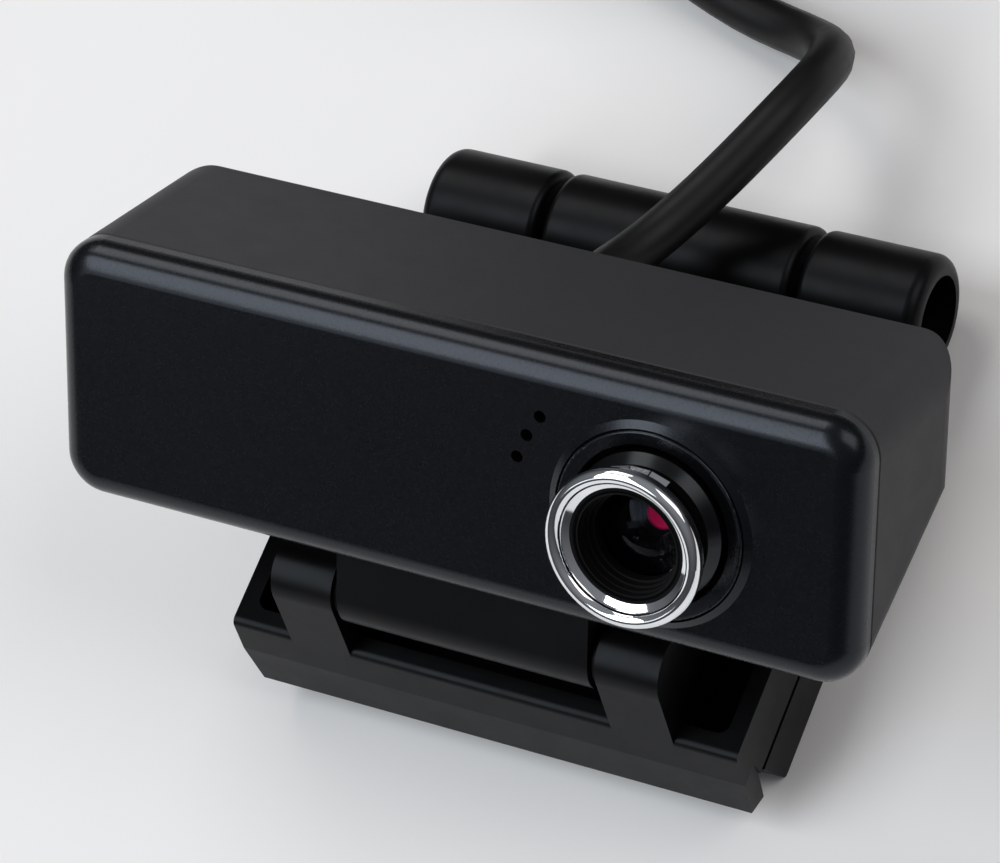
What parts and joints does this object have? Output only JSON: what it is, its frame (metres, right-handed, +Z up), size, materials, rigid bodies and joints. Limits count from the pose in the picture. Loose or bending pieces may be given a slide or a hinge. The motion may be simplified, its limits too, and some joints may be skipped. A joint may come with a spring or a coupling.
{
  "type": "clip-on webcam",
  "caption": "Wide webcam head with an off-centre lens in a chrome focus ring, tilting on a folding clip stand, with a cable coiled behind it and a USB plug.",
  "frame": {"origin": "on the table under the middle of the closed clip, midway between its lip and its hinge barrel", "axes": "+X to the viewer's right as one faces the lens, +Y to the back, +Z up from the table"},
  "size_m": [0.0804, 0.1478, 0.04],
  "materials": {
    "bezel_plastic": "satin black with a fine sparkle",
    "housing_plastic": "matte dark grey, finely textured",
    "clip_plastic": "satin black",
    "inner_black": "matte black",
    "chrome": "polished",
    "lens_glass": "dark and clear",
    "lens_coating": "coated, with a magenta reflection",
    "filter_glass": "coated",
    "chip_black": "matte",
    "board_green": "semi-gloss",
    "header_white": "matte",
    "steel": "plain",
    "plug_steel": "bright",
    "soft_black": "matte",
    "cable_black": "satin"
  },
  "bodies": {
    "clip_base": {"clip_base": "clip_plastic", "base_pad": "soft_black", "tilt_pin": "steel", "friction_washers": "inner_black", "hinge_pin": "steel", "cable_stretch": "cable_black", "cable_coil": "cable_black", "cable_tail": "cable_black", "cable_tie": "inner_black", "plug_overmould": "soft_black", "plug_shell": "plug_steel", "plug_tongue": "header_white"},
    "clip_leg": {"clip_leg": "clip_plastic", "leg_pad": "soft_black"},
    "head": {"front_bezel": "bezel_plastic", "rear_housing": "housing_plastic", "housing_screws": "steel", "tilt_block": "clip_plastic", "lens_mount": "inner_black", "infrared_filter": "filter_glass", "image_sensor": "chip_black", "circuit_board": "board_green", "controller_chip": "chip_black", "cable_header": "header_white", "microphone": "steel", "microphone_gasket": "soft_black", "strain_relief": "soft_black"},
    "focus": {"lens_barrel": "clip_plastic", "focus_ring": "chrome", "lens_baffle": "inner_black", "front_lens": "lens_glass", "inner_lens": "lens_coating"}
  },
  "joints": [
    {"name": "head_tilt", "type": "hinge", "parent": "clip_base", "child": "head", "pos_m": [0, -0.01884, 0.01607], "axis": [1, 0, 0], "range_deg": [-14, 75], "deforming": ["cable_stretch"]},
    {"name": "leg_swing", "type": "hinge", "parent": "clip_base", "child": "clip_leg", "pos_m": [0, 0.0193, 0.0052], "axis": [1, 0, 0], "range_deg": [0, 120]},
    {"name": "focus_turn", "type": "hinge", "parent": "head", "child": "focus", "pos_m": [0.0179, -0.01329, 0.03205], "axis": [0, -0.7547, 0.6561], "range_deg": [-150, 150]}
  ]
}
